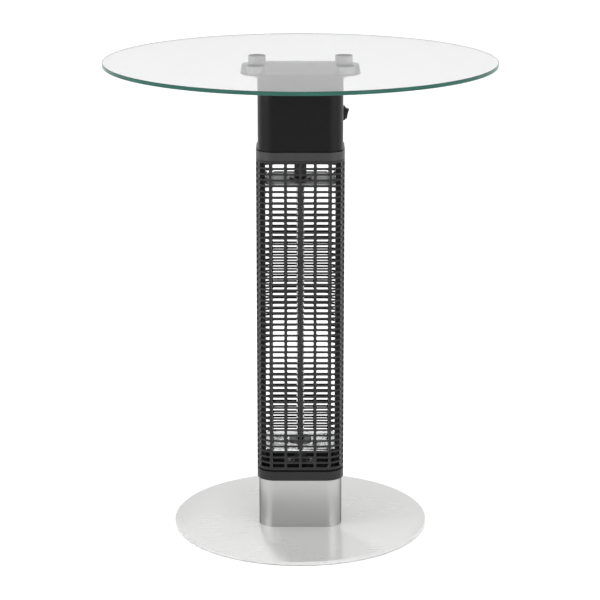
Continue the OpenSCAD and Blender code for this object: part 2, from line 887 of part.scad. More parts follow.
// ---------- switch ----------

module on_side_wall() {
    translate([column_w / 2, 0, z_switch]) children();
}

module switch_housing() {
    step = 1.2;
    color("black") on_side_wall() difference() {
        union() {
            translate([(bezel_t - step) / 2, 0, 0]) cube([bezel_t - step, bezel_w, bezel_h], center = true);
            translate([bezel_t / 2, 0, 0]) cube([bezel_t, bezel_w - step, bezel_h - step], center = true);
            translate([-switch_body_l / 2, 0, 0])
                cube([switch_body_l, switch_body_w, switch_body_h], center = true);
        }
        translate([-pocket_depth, -pocket_w / 2, -pocket_l / 2])
            cube([pocket_depth + bezel_t + cut, pocket_w, pocket_l]);
        translate([rocker_out, 0, 0]) rotate([90, 0, 0])
            cylinder(r = pin_r + pin_fit, h = rocker_w + 2 * pin_l + 2 * pin_fit, center = true);
    }
}

module switch_terminals() {
    blade = [blade_l, 4.8, blade_t];
    color("silver") on_side_wall()
        for (z = [-blade_z, 0, blade_z])
            translate([-switch_body_l - blade.x / 2, 0, z]) cube(blade, center = true);
}

module switch_rocker() {
    a = rocker_l / 2;
    top = a - rocker_draft;
    foot = a - rocker_taper;
    color("black") on_side_wall() translate([rocker_out, 0, 0]) rotate([0, rocker_tilt, 0]) {
        rotate([90, 0, 0]) linear_extrude(rocker_w, center = true)
            polygon([[-rocker_foot, -foot], [0, -a], [1, -a], [rocker_top, -top],
                     [rocker_top - rocker_dip, 0],
                     [rocker_top, top], [1, a], [0, a], [-rocker_foot, foot]]);
        rotate([90, 0, 0]) cylinder(r = pin_r, h = rocker_w + 2 * pin_l, center = true);
    }
}

// ---------- leads ----------

module lead_live() {
    start = [block_at.x + block_pitch, block_at.y, block_top];
    end = [terminal_x, 0, z_switch - blade_z - blade_t / 2];
    color("brown") wire([
        start, [start.x, start.y, bay_top - 12], [lead_x, -lead_y, bay_top],
        [lead_x, -lead_y, z_chassis_top + 8], end - [0, 0, 14], end
    ]);
}

module lead_switched() {
    start = [terminal_x, 0, z_switch + blade_t / 2];
    end = [cutout_at.x, cutout_at.y + spade_y, spade_top];
    color("brown") wire([
        start, start + [0, 0, 1.2], start + [-8, 3, 3], start + [-20, 8, -10],
        end + [12, 4, 16], end + [0, 0, 8], end
    ]);
}

module lead_lamp() {
    start = [cutout_at.x, cutout_at.y - spade_y, spade_top];
    color("white") wire([
        start, start + [0, 0, 6], start + [10, -3, 10], [-4, -3, spade_top + 6], [0, 0, spade_top - 4],
        [0, 0, tube_top]
    ]);
}

module lead_neutral() {
    start = [block_at.x - block_pitch, block_at.y, block_top];
    color("royalblue") wire([
        start, [start.x, start.y, bay_top - 20], [0, 0, bay_top], [0, 0, tube_low]
    ]);
}

// ---------- table top ----------

module top_bracket() {
    color("dimgray") translate([0, 0, z_bracket]) difference() {
        linear_extrude(bracket_t) outline(bracket_w, bracket_d, bracket_r);
        translate([0, 0, -cut]) {
            at_corners(boss_x, boss_y) cylinder(d = m5[0], h = bracket_t + 2 * cut);
            at_corners(puck_x, puck_y) cylinder(d = m6[0], h = bracket_t + 2 * cut);
        }
        at_corners(boss_x, boss_y) translate([0, 0, bracket_t - m5_sink_h])
            cylinder(d1 = m5[0], d2 = m5_sink_d, h = m5_sink_h);
    }
}

module bracket_screws() {
    key = 3;
    color("dimgray") translate([0, 0, z_puck]) at_corners(boss_x, boss_y)
        mirror([0, 0, 1]) sunk_screw(m5[0], m5_sink_d, m5_sink_h, thread_l + bracket_t - 2, key);
}

module glass_pucks() {
    thread = puck_h - puck_cap;
    color("silver") translate([0, 0, z_puck]) at_corners(puck_x, puck_y) difference() {
        cylinder(d = puck_d, h = puck_h);
        translate([0, 0, -cut]) cylinder(d = m6[0], h = thread + cut);
    }
}

module puck_screws() {
    color("silver") translate([0, 0, z_bracket]) at_corners(puck_x, puck_y)
        mirror([0, 0, 1]) pan_screw(m6, bracket_t + puck_h - puck_cap - cut);
}

module glass_top() {
    r = glass_d / 2;
    c = glass_chamfer;
    color("paleturquoise", 0.4) translate([0, 0, z_glass])
        rotate_extrude()
            polygon([[0, 0], [r - c, 0], [r, c], [r, glass_t - c], [r - c, glass_t], [0, glass_t]]);
}

foot_pads();
base_plate();
base_screws();
column_flange();
lower_column();
column_shelf();
cable_gland();
gland_cap_nut();
gland_lock_nut();
terminal_block();
tip_over_switch();
bay_screws();
lower_ring();
ring_screws();
guard_front();
guard_rear();
upper_ring();
side_post_left();
side_post_right();
post_screws();
lower_reflector();
upper_reflector();
reflector_screws();
lamp_collars();
lamp_holder_lower();
lamp_holder_upper();
holder_screws();
lamp_cap_lower();
lamp_cap_upper();
quartz_tube();
carbon_filament();
head_chassis();
chassis_screws();
thermal_cutout();
cutout_screws();
head_casing();
switch_housing();
switch_terminals();
switch_rocker();
lead_live();
lead_switched();
lead_lamp();
lead_neutral();
top_bracket();
bracket_screws();
glass_pucks();
puck_screws();
glass_top();
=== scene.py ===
import json
from math import atan, copysign, pi, radians

import bmesh
import bpy
from mathutils import Matrix, Vector

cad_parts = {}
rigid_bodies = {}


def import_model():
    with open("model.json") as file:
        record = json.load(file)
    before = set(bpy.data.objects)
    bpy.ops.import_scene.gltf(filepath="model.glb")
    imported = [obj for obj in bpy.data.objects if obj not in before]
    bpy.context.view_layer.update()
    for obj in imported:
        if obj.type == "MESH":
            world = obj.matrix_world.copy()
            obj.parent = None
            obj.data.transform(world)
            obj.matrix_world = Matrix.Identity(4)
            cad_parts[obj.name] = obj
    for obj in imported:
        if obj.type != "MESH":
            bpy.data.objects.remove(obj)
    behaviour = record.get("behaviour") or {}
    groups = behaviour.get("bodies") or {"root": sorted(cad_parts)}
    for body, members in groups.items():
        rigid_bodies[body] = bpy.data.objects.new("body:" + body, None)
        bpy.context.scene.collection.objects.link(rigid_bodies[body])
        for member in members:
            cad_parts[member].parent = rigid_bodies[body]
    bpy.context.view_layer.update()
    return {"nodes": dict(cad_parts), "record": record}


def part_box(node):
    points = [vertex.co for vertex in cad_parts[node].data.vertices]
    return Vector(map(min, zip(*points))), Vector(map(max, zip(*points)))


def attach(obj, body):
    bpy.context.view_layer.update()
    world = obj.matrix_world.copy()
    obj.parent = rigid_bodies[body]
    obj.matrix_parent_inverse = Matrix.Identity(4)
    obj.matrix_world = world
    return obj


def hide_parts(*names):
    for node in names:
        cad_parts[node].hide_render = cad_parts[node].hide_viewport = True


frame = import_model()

nodes = frame["nodes"]
slots = {part["node"]: part["material_slot"] for part in frame["record"]["subparts"]}
mm = 0.001


# working with meshes

def deselectAll():
    for piece in bpy.context.view_layer.objects:
        piece.select_set(False)


def choose(piece):
    deselectAll()
    piece.select_set(True)
    bpy.context.view_layer.objects.active = piece


def settle(piece):
    # puts the object's place, turn and size into its mesh
    choose(piece)
    bpy.ops.object.transform_apply(location=True, rotation=True, scale=True)
    return piece


def pick(kind, test):
    # in edit mode: selects the verts, edges or faces that pass the test, and nothing else
    bpy.context.tool_settings.mesh_select_mode = (kind == "VERT", kind == "EDGE", kind == "FACE")
    mesh = bmesh.from_edit_mesh(bpy.context.object.data)
    for group in (mesh.verts, mesh.edges, mesh.faces):
        for item in group:
            item.select = False
    chosen = {"VERT": mesh.verts, "EDGE": mesh.edges, "FACE": mesh.faces}[kind]
    for item in [item for item in chosen if test(item)]:
        item.select_set(True)
    if kind == "VERT":
        mesh.select_flush(True)
    bmesh.update_edit_mesh(bpy.context.object.data)


def middle(item):
    # centre of an edge or a face
    return sum((vert.co for vert in item.verts), Vector()) / len(item.verts)


def liesAt(item, axis, value):
    # whether all of an edge or a face lies at one value of x, y or z
    return all(abs(vert.co[axis] - value) < 1e-5 for vert in item.verts)


def edit(piece):
    choose(piece)
    bpy.ops.object.mode_set(mode="EDIT")


def leave():
    bpy.ops.object.mode_set(mode="OBJECT")


def mergeAndTurnOut(piece):
    edit(piece)
    bpy.ops.mesh.select_all(action="SELECT")
    bpy.ops.mesh.remove_doubles(threshold=1e-6)
    bpy.ops.mesh.normals_make_consistent(inside=False)
    leave()


def addModifier(piece, kind, **values):
    made = piece.modifiers.new(kind.lower(), kind)
    for key, value in values.items():
        setattr(made, key, value)
    return made


def applyAll(piece):
    choose(piece)
    for modifier in list(piece.modifiers):
        bpy.ops.object.modifier_apply(modifier=modifier.name)


def smoothShade(piece, degrees=35):
    choose(piece)
    bpy.ops.object.shade_smooth_by_angle(angle=radians(degrees))


def soften(piece, width, segments=2):
    # rounds the edges, and keeps the flats flat in the shading
    smoothShade(piece, 30)
    addModifier(piece, "BEVEL", width=width * mm, segments=segments, limit_method="ANGLE",
                angle_limit=radians(35), harden_normals=True, miter_outer="MITER_ARC")
    applyAll(piece)


def finishPiece(piece, slot, material, *stoodFor, body="heater"):
    settle(piece)
    piece.data.materials.clear()
    piece.data.materials.append(material)
    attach(piece, body)
    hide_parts(*stoodFor)
    return piece


def addDrum(name, place, radius, low, high, sides=48):
    deselectAll()
    bpy.ops.mesh.primitive_cylinder_add(
        vertices=sides, radius=radius, depth=high - low, location=(place[0], place[1], (low + high) / 2))
    drum = bpy.context.object
    drum.name = drum.data.name = name
    return settle(drum)


def copyPiece(piece, name):
    made = piece.copy()
    made.data = piece.data.copy()
    made.name = name
    bpy.context.scene.collection.objects.link(made)
    return made


def joinPieces(name, pieces):
    deselectAll()
    for piece in pieces:
        piece.select_set(True)
    bpy.context.view_layer.objects.active = pieces[0]
    if len(pieces) > 1:
        bpy.ops.object.join()
    made = bpy.context.object
    made.name = name
    return made


# working with materials

def startMaterial(name, colour, metallic=0.0, roughness=0.5):
    material = bpy.data.materials.new(name)
    material.use_nodes = True
    shader = material.node_tree.nodes["Principled BSDF"]
    shader.inputs["Base Color"].default_value = (*colour, 1)
    shader.inputs["Metallic"].default_value = metallic
    shader.inputs["Roughness"].default_value = roughness
    material.diffuse_color = (*colour, 1)
    return material, material.node_tree, shader


def addNode(tree, kind, inputs=None, **values):
    made = tree.nodes.new(kind)
    for key, value in values.items():
        setattr(made, key, value)
    for key, value in (inputs or {}).items():
        if isinstance(value, bpy.types.NodeSocket):
            tree.links.new(value, made.inputs[key])
        else:
            made.inputs[key].default_value = value
    return made


def noise(tree, scale, stretch=(1, 1, 1), detail=3.0, coarse=0.5):
    # noise on the piece's own coordinates, in features per metre
    place = addNode(tree, "ShaderNodeTexCoord").outputs["Object"]
    mapped = addNode(tree, "ShaderNodeMapping", {"Vector": place, "Scale": stretch}).outputs["Vector"]
    made = addNode(tree, "ShaderNodeTexNoise",
                   {"Vector": mapped, "Scale": scale, "Detail": detail, "Roughness": coarse})
    return made.outputs["Fac"]


def spread(tree, value, low, high, start=0.3, end=0.7):
    return addNode(tree, "ShaderNodeMapRange", {
        "Value": value, "From Min": start, "From Max": end, "To Min": low, "To Max": high,
    }).outputs["Result"]


def blendColour(tree, value, low, high):
    made = addNode(tree, "ShaderNodeMix", data_type="RGBA")
    tree.links.new(value, made.inputs["Factor"])
    made.inputs[6].default_value = (*low, 1)
    made.inputs[7].default_value = (*high, 1)
    return made.outputs[2]


def addValues(tree, a, b):
    return addNode(tree, "ShaderNodeMath", {0: a, 1: b}, operation="ADD").outputs[0]


def setBump(tree, shader, height, strength, distance):
    bump = addNode(tree, "ShaderNodeBump", {"Height": height, "Strength": strength, "Distance": distance})
    tree.links.new(bump.outputs["Normal"], shader.inputs["Normal"])


def powderCoat(name, colour, roughness=0.42, peel=0.25, grain=1400, gloss=0.5):
    # satin powder coat: orange peel, a fine grain and slightly uneven gloss
    material, tree, shader = startMaterial(name, colour, 0.0, roughness)
    coarse = noise(tree, grain, detail=2.0)
    cloud = noise(tree, 18, detail=4.0)
    dust = noise(tree, 160, detail=6.0, coarse=0.65)
    tree.links.new(spread(tree, cloud, roughness - 0.02, roughness + 0.03), shader.inputs["Roughness"])
    lighter = tuple(min(1, 1.15 * part + 0.001) for part in colour)
    tree.links.new(blendColour(tree, spread(tree, dust, 0, 1, 0.45, 0.8), colour, lighter),
                   shader.inputs["Base Color"])
    setBump(tree, shader, coarse, peel, 0.00012)
    shader.inputs["Specular IOR Level"].default_value = gloss
    return material


def brushedSteel(name, colour, stretch, roughness, streaks, anisotropic=0.0, grooves=0.12, rim=1.0,
                 metallic=1.0, gloss=0.5):
    # steel brushed along one direction: fine streaks in the roughness, the colour and the surface
    material, tree, shader = startMaterial(name, colour, metallic, roughness)
    shader.inputs["Specular IOR Level"].default_value = gloss
    shader.inputs["Specular Tint"].default_value = (rim, rim, rim, 1)
    fine = noise(tree, 1, stretch, detail=5.0, coarse=0.65)
    broad = noise(tree, 7, detail=3.0)
    lines = spread(tree, fine, -streaks, streaks, 0.25, 0.75)
    patches = spread(tree, broad, roughness - 0.03, roughness + 0.03)
    tree.links.new(addValues(tree, lines, patches), shader.inputs["Roughness"])
    darker = tuple(0.965 * part for part in colour)
    tree.links.new(blendColour(tree, spread(tree, fine, 0, 1), darker, colour),
                   shader.inputs["Base Color"])
    setBump(tree, shader, fine, grooves, 0.00005)
    if anisotropic:
        # the brushing follows the piece's own UV map
        shader.inputs["Anisotropic"].default_value = anisotropic
        tangent = addNode(tree, "ShaderNodeTangent", direction_type="UV_MAP")
        tree.links.new(tangent.outputs["Tangent"], shader.inputs["Tangent"])
        shader.inputs["Anisotropic Rotation"].default_value = 0.25
    return material


def sheetMetal(name, colour, roughness=0.2, wave=0.3, waveScale=25, metallic=1.0, depth=0.0006):
    # rolled sheet: a slow wave in the surface, fine rolling lines and small smears
    material, tree, shader = startMaterial(name, colour, metallic, roughness)
    slow = noise(tree, waveScale, detail=2.0)
    smear = noise(tree, 90, (1, 3, 1), detail=5.0, coarse=0.6)
    tree.links.new(spread(tree, smear, roughness - 0.06, roughness + 0.1), shader.inputs["Roughness"])
    darker = tuple(0.88 * part for part in colour)
    tree.links.new(blendColour(tree, spread(tree, smear, 0, 1), darker, colour),
                   shader.inputs["Base Color"])
    setBump(tree, shader, slow, wave, depth)
    return material


def mouldedPlastic(name, colour, roughness=0.45, grain=1800, depth=0.2, gloss=0.5):
    # moulded plastic with a fine spark-eroded grain
    material, tree, shader = startMaterial(name, colour, 0.0, roughness)
    fine = noise(tree, grain, detail=2.0)
    cloud = noise(tree, 40, detail=3.0)
    tree.links.new(spread(tree, cloud, roughness - 0.06, roughness + 0.08), shader.inputs["Roughness"])
    lighter = tuple(min(1, 1.15 * part + 0.003) for part in colour)
    tree.links.new(blendColour(tree, spread(tree, cloud, 0, 1), colour, lighter),
                   shader.inputs["Base Color"])
    setBump(tree, shader, fine, depth, 0.00008)
    shader.inputs["Specular IOR Level"].default_value = gloss
    return material


def clearGlass(name, tint, density, roughness=0.0, ior=1.5):
    # clear glass whose colour deepens with the length of the light's way through it
    material, tree, shader = startMaterial(name, (1, 1, 1), 0.0, roughness)
    shader.inputs["Transmission Weight"].default_value = 1.0
    shader.inputs["IOR"].default_value = ior
    absorb = addNode(tree, "ShaderNodeVolumeAbsorption", {"Color": (*tint, 1), "Density": density})
    output = tree.nodes["Material Output"]
    tree.links.new(absorb.outputs["Volume"], output.inputs["Volume"])
    smudge = noise(tree, 30, detail=4.0)
    tree.links.new(spread(tree, smudge, 0.0, roughness + 0.015, 0.35, 0.75), shader.inputs["Roughness"])
    return material


def paintFaces(piece, material, test):
    # gives the faces that pass the test a material of their own
    piece.data.materials.append(material)
    edit(piece)
    piece.active_material_index = len(piece.data.materials) - 1
    pick("FACE", test)
    bpy.ops.object.material_slot_assign()
    leave()


# the finishes by the record's slots, then those of single pieces and surfaces
finishes = {
    "rubber": mouldedPlastic("footRubber", (0.03, 0.03, 0.03), 0.75, 900, 0.5),
    "brushed_steel": brushedSteel("brushedColumn", (0.435, 0.435, 0.43), (1400, 1400, 20), 0.32, 0.004,
                                  grooves=0.008, rim=0.3),
    "zinc_plate": sheetMetal("zincPlate", (0.52, 0.53, 0.55), 0.4, 0.2, 60),
    "stainless_screw": sheetMetal("stainlessScrew", (0.62, 0.62, 0.61), 0.22, 0.1, 300),
    "black_screw": sheetMetal("blackScrew", (0.03, 0.03, 0.03), 0.35, 0.1, 300, 0.6),
    "gland_nylon": mouldedPlastic("glandNylon", (0.02, 0.02, 0.021), 0.5),
    "terminal_nylon": mouldedPlastic("terminalNylon", (0.72, 0.69, 0.62), 0.4),
    "tip_switch_plastic": mouldedPlastic("tipSwitchPlastic", (0.04, 0.04, 0.042), 0.4),
    "black_coat": powderCoat("blackCoat", (0.021, 0.021, 0.0215), 0.38, gloss=0.12),
    "polished_aluminium": sheetMetal("polishedSheet", (0.84, 0.85, 0.86), 0.045, 1.0, 70, depth=0.0011),
    "dark_steel": powderCoat("darkSteel", (0.035, 0.035, 0.036), 0.4, gloss=0.4),
    "ceramic": mouldedPlastic("steatite", (0.78, 0.75, 0.69), 0.6, 1200, 0.35),
    "quartz": clearGlass("quartz", (0.97, 0.98, 0.99), 0.5, ior=1.22),
    "carbon": mouldedPlastic("carbonRibbon", (0.03, 0.03, 0.031), 0.6, 2600, 0.6),
    "cutout_steel": sheetMetal("drawnCap", (0.66, 0.66, 0.67), 0.3, 0.2, 120),
    "head_coat": powderCoat("headCoat", (0.004, 0.004, 0.0042), 0.32, gloss=0.125),
    "switch_plastic": mouldedPlastic("switchPlastic", (0.005, 0.005, 0.005), 0.3, 2000, 0.1, gloss=0.2),
    "tin_blade": sheetMetal("tinBlade", (0.7, 0.69, 0.66), 0.3, 0.1, 200),
    "brown_wire": mouldedPlastic("brownWire", (0.13, 0.05, 0.02), 0.4),
    "white_wire": mouldedPlastic("whiteWire", (0.8, 0.8, 0.77), 0.65, 1500, 0.5),
    "blue_wire": mouldedPlastic("blueWire", (0.015, 0.06, 0.35), 0.4),
    "puck_metal": brushedSteel("turnedPuck", (0.24, 0.24, 0.245), (500, 500, 500), 0.5, 0.04),
    "table_glass": clearGlass("tableGlass", (0.80, 0.96, 0.90), 3.0),
    "baseSteel": brushedSteel("brushedBase", (0.59, 0.59, 0.585), (22, 900, 900), 0.28, 0.008, 0.9,
                              grooves=0.03, metallic=0.45, gloss=0.12),
    # painted shade: a darker coat for the guard's inward faces, standing in for the shade inside the guard
    "innerShadeCoat": powderCoat("innerShadeCoat", (0.006, 0.006, 0.006), 0.5, gloss=0.1),
    "collarSteel": sheetMetal("collarSteel", (0.10, 0.10, 0.102), 0.3, 0.2, 60),
    "brightScrew": sheetMetal("brightScrew", (0.95, 0.95, 0.94), 0.16, 0.1, 300),
    # painted highlight: a light grey coat for the ends of the slots in the guard's corners
    "slotEndHighlight": powderCoat("slotEndHighlight", (0.16, 0.16, 0.161), 0.3, gloss=0.5),
    "dullAluminium": sheetMetal("dullSheet", (0.42, 0.43, 0.44), 0.34, 0.5, 22),
    "markPaint": mouldedPlastic("markPaint", (0.75, 0.75, 0.74), 0.5, 1500, 0.1),
    "ringCoat": powderCoat("ringCoat", (0.026, 0.026, 0.0265), 0.34, gloss=0.3),
}


def dressCadNodes():
    for name, piece in nodes.items():
        piece.data.materials.clear()
        piece.data.materials.append(finishes[slots[name]])


# slotted guard

guard = {
    "barPitch": 22.9,
    "barWidth": 3.7,
    "columns": 8,
    "rungHeight": 2.6,
    "frontRows": 54,
    "rearRows": 53,
    "marginLow": 4.0,
    "marginTop": 4.5,
    "slotCorner": 1.7,
    "slotPoints": 12,
    "wall": 2.0,
    "outerRadius": 28.8,
    "bendPoints": 24,
    "cornerSlack": 1.0,
}


def addWallPath(low, high):
    # curve along the middle of the front wall, from one seam round both front corners to the other
    inset = guard["wall"] / 2 * mm
    deselectAll()
    bpy.ops.mesh.primitive_plane_add(size=1, location=(0, 0, 0))
    path = bpy.context.object
    path.scale = (high.x - low.x - 2 * inset, -2 * (low.y + inset), 1)
    settle(path)
    edit(path)
    pick("VERT", lambda vert: vert.co.y < 0)
    bpy.ops.mesh.bevel(affect="VERTICES", offset=guard["outerRadius"] * mm - inset,
                       segments=guard["bendPoints"], profile=0.5)
    bpy.ops.mesh.select_all(action="SELECT")
    bpy.ops.mesh.bisect(plane_co=(0, 0, 0), plane_no=(0, 1, 0), clear_outer=True)
    bpy.ops.mesh.select_all(action="SELECT")
    bpy.ops.mesh.delete(type="ONLY_FACE")
    pick("EDGE", lambda edge: liesAt(edge, 1, 0))
    bpy.ops.mesh.delete(type="EDGE")
    leave()
    choose(path)
    bpy.ops.object.convert(target="CURVE")
    return bpy.context.object


def addSlotCell(rowPitch):
    # one slot with its share of the bars and rungs round it, standing in the XZ plane
    corner = guard["slotCorner"] * mm
    halfSlot = (guard["barPitch"] - guard["barWidth"]) / 2 * mm
    halfHeight = rowPitch / 2 - guard["rungHeight"] / 2 * mm
    halfPitch = guard["barPitch"] / 2 * mm
    deselectAll()
    bpy.ops.mesh.primitive_circle_add(vertices=guard["slotPoints"], radius=corner,
                                      rotation=(pi / 2, pi / guard["slotPoints"], 0))
    cell = settle(bpy.context.object)
    edit(cell)
    for axis, reach in ((0, halfSlot - corner), (2, halfHeight - corner)):
        for side in (-1, 1):
            pick("VERT", lambda vert: side * vert.co[axis] > 0)
            bpy.ops.transform.translate(value=[side * reach if axis == part else 0 for part in range(3)])
    bpy.ops.mesh.select_all(action="SELECT")
    bpy.ops.mesh.extrude_edges_move()
    bpy.ops.transform.resize(value=(2, 1, 4), center_override=(0, 0, 0))
    for normal, reach in (((1, 0, 0), halfPitch), ((0, 0, 1), rowPitch / 2)):
        for side in (-1, 1):
            bpy.ops.mesh.select_all(action="SELECT")
            bpy.ops.mesh.bisect(plane_co=[side * reach * part for part in normal],
                                plane_no=[side * part for part in normal], clear_outer=True)
    for part in (-0.5, 0, 0.5):
        bpy.ops.mesh.select_all(action="SELECT")
        bpy.ops.mesh.bisect(plane_co=(part * halfSlot, 0, 0), plane_no=(1, 0, 0))
    leave()
    return cell


def extrudeRim(axis, value, move):
    pick("EDGE", lambda edge: liesAt(edge, axis, value))
    bpy.ops.mesh.extrude_edges_move()
    bpy.ops.transform.translate(value=move)


def makeGuardHalf(name, node, rows, startAt, turned):
    low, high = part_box("guard_front")
    height = high.z - low.z
    lower, upper = guard["marginLow"] * mm, guard["marginTop"] * mm
    rung = guard["rungHeight"] * mm
    rowPitch = (height - lower - upper + rung) / guard["frontRows"]
    path = addWallPath(low, high)
    run = path.data.splines[0].calc_length()
    sheet = addSlotCell(rowPitch)
    sheet.name = sheet.data.name = name
    addModifier(sheet, "ARRAY", count=guard["columns"], use_relative_offset=False, use_constant_offset=True,
                constant_offset_displace=(guard["barPitch"] * mm, 0, 0), use_merge_vertices=True,
                merge_threshold=1e-6)
    addModifier(sheet, "ARRAY", count=rows, use_relative_offset=False, use_constant_offset=True,
                constant_offset_displace=(0, 0, rowPitch), use_merge_vertices=True, merge_threshold=1e-6)
    applyAll(sheet)
    mergeAndTurnOut(sheet)
    halfPattern = guard["columns"] / 2 * guard["barPitch"] * mm
    sheet.location = (run / 2 - halfPattern + guard["barPitch"] / 2 * mm, 0,
                      low.z + lower + startAt * rowPitch + (rowPitch - rung) / 2)
    settle(sheet)
    edges = {axis: [pickEnd(vert.co[axis] for vert in sheet.data.vertices) for pickEnd in (min, max)]
             for axis in (0, 2)}
    edit(sheet)
    extrudeRim(2, edges[2][0], (0, 0, low.z - edges[2][0]))
    extrudeRim(2, edges[2][1], (0, 0, high.z - edges[2][1]))
    extrudeRim(0, edges[0][0], (-edges[0][0], 0, 0))
    extrudeRim(0, edges[0][1], (run - edges[0][1], 0, 0))
    leave()
    addModifier(sheet, "CURVE", object=path, deform_axis="POS_X")
    applyAll(sheet)
    mergeAndTurnOut(sheet)
    addModifier(sheet, "SOLIDIFY", thickness=guard["wall"] * mm, offset=0, use_even_offset=True)
    applyAll(sheet)
    smoothShade(sheet, 30)
    sheet.rotation_euler.z = pi if turned else 0
    bpy.data.objects.remove(path)
    finishPiece(sheet, "black_coat", finishes["black_coat"], node)
    # the inward faces get the darker coat: painted shade inside the guard
    paintFaces(sheet, finishes["innerShadeCoat"], facesInward)
    paintSlotEndHighlights(sheet)


def facesInward(face):
    # whether an upright face looks towards the heater's axis
    centre = middle(face)
    inward = -face.normal.xy.dot(centre.xy) / centre.xy.length
    return abs(face.normal.z) < 0.3 and inward > 0.6


def paintSlotEndHighlights(sheet):
    # painted highlight: the ends of the slots in the corners get a light grey coat where they catch the
    # light
    low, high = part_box("guard_front")
    bendStart = Vector((high.x, -low.y)) - Vector((1, 1)) * guard["outerRadius"] * mm

    def isSlotEnd(face):
        centre = middle(face)
        way = Vector((abs(centre.x), abs(centre.y))) - bendStart
        if min(way) < -guard["cornerSlack"] * mm or abs(face.normal.z) > 0.75:
            return False
        outward = Vector((copysign(way.x, centre.x), copysign(way.y, centre.y))).normalized()
        return abs(face.normal.xy.dot(outward)) < 0.6

    paintFaces(sheet, finishes["slotEndHighlight"], isSlotEnd)


def makeGuard():
    makeGuardHalf("guardFront", "guard_front", guard["frontRows"], 0, False)
    makeGuardHalf("guardRear", "guard_rear", guard["rearRows"], 0.5, True)
    print("guard halves made")


# glass table top

glassTop = {
    "sides": 192,
    "arris": 0.8,
    "edgeColour": (0.03, 0.118, 0.092),
    "edgeRoughness": (0.10, 0.28),
    "edgeGloss": 0.1,
}


def glassEdge():
    # the ground rim of the glass, green from the length of glass behind it
    material, tree, shader = startMaterial("glassEdge", glassTop["edgeColour"])
    shader.inputs["Transmission Weight"].default_value = 0.2
    shader.inputs["Specular IOR Level"].default_value = glassTop["edgeGloss"]
    band = noise(tree, 1, (30, 30, 500), detail=3.0)
    lighter = tuple(1.35 * part for part in glassTop["edgeColour"])
    tree.links.new(blendColour(tree, spread(tree, band, 0, 1), glassTop["edgeColour"], lighter),
                   shader.inputs["Base Color"])
    tree.links.new(spread(tree, band, *glassTop["edgeRoughness"]), shader.inputs["Roughness"])
    return material


def makeGlassTop():
    low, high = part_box("glass_top")
    top = addDrum("glassTable", (0, 0), high.x, low.z, high.z, glassTop["sides"])
    edit(top)
    pick("EDGE", lambda edge: liesAt(edge, 2, low.z) or liesAt(edge, 2, high.z))
    bpy.ops.mesh.bevel(affect="EDGES", offset=glassTop["arris"] * mm, segments=3, profile=0.5)
    leave()
    smoothShade(top, 12)
    finishPiece(top, "table_glass", finishes["table_glass"], "glass_top")
    paintFaces(top, glassEdge(), lambda face: abs(face.normal.z) < 0.95)
    print("glass top made")


# pieces whose shape the frame already has, with soft edges and smooth rounds

softPieces = {
    # node: edge radius in millimetres
    "foot_pads": 0.3,
    "base_plate": 0.0,
    "base_screws": 0.0,
    "column_flange": 0.3,
    "lower_column": 0.25,
    "column_shelf": 0.3,
    "cable_gland": 0.3,
    "gland_cap_nut": 0.4,
    "gland_lock_nut": 0.3,
    "terminal_block": 0.3,
    "tip_over_switch": 0.5,
    "bay_screws": 0.15,
    "lower_ring": 0.35,
    "ring_screws": 0.15,
    "upper_ring": 0.35,
    "side_post_left": 0.3,
    "side_post_right": 0.3,
    "post_screws": 0.15,
    "lower_reflector": 0.25,
    "upper_reflector": 0.25,
    "reflector_screws": 0.15,
    "lamp_collars": 0.3,
    "lamp_holder_lower": 0.3,
    "lamp_holder_upper": 0.3,
    "holder_screws": 0.15,
    "lamp_cap_lower": 0.5,
    "lamp_cap_upper": 0.5,
    "quartz_tube": 0.0,
    "carbon_filament": 0.1,
    "head_chassis": 0.3,
    "chassis_screws": 0.15,
    "thermal_cutout": 0.3,
    "cutout_screws": 0.1,
    "head_casing": 0.8,
    "switch_housing": 0.4,
    "switch_terminals": 0.1,
    "switch_rocker": 0.35,
    "lead_live": 0.0,
    "lead_switched": 0.0,
    "lead_lamp": 0.0,
    "lead_neutral": 0.0,
    "top_bracket": 0.4,
    "bracket_screws": 0.0,
    "puck_screws": 0.15,
}
# nodes whose finish isn't the plain one of their slot
otherFinish = {
    "lamp_collars": "collarSteel",
    "holder_screws": "brightScrew",
    "base_plate": "baseSteel",
    "upper_reflector": "dullAluminium",
    "upper_ring": "ringCoat",
}


def inCamel(node):
    first, *others = node.split("_")
    return first + "".join(word.capitalize() for word in others)


# sizes and colour of the painted shade on the lower ring
ringShade = {
    "lineDepth": 3.2,
    "lineSlack": 0.1,
    "wall": 6.0,
    "colour": (0.003, 0.003, 0.003),
}


def paintRingShade(ring):
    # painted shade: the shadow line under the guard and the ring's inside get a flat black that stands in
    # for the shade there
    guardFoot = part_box("guard_front")[0].z
    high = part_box("lower_ring")[1]
    reach = high.xy - Vector((1, 1)) * ringShade["wall"] * mm

    def inLine(face):
        bottom, top = guardFoot - ringShade["lineDepth"] * mm, guardFoot + ringShade["lineSlack"] * mm
        return abs(face.normal.z) < 0.5 and bottom < middle(face).z < top

    def onInnerTop(face):
        centre = middle(face)
        return face.normal.z > 0.5 and abs(centre.x) < reach.x and abs(centre.y) < reach.y

    shadow = powderCoat("paintedRingShade", ringShade["colour"], 0.7, gloss=0.05)
    paintFaces(ring, shadow, lambda face: inLine(face) or onInnerTop(face) or facesInward(face))


def nodeBody(node):
    return "rocker" if node == "switch_rocker" else "heater"


# on and off marks of the rocker

# its sizes are in millimetres from the pivot, the x way outward, before the rocker's tilt
rocker = {
    "pivot": (66.5, 0.0, 660.0),
    "tilt": 13.0,
    "faceMiddle": 5.7,
    "faceEnd": 6.3,
    "faceReach": 7.3,
    "markAt": 4.0,
    "barSize": (0.45, 2.4),
    "ringRadius": 1.3,
    "ringWidth": 0.4,
    "proud": 0.12,
    "sunk": 0.3,
}


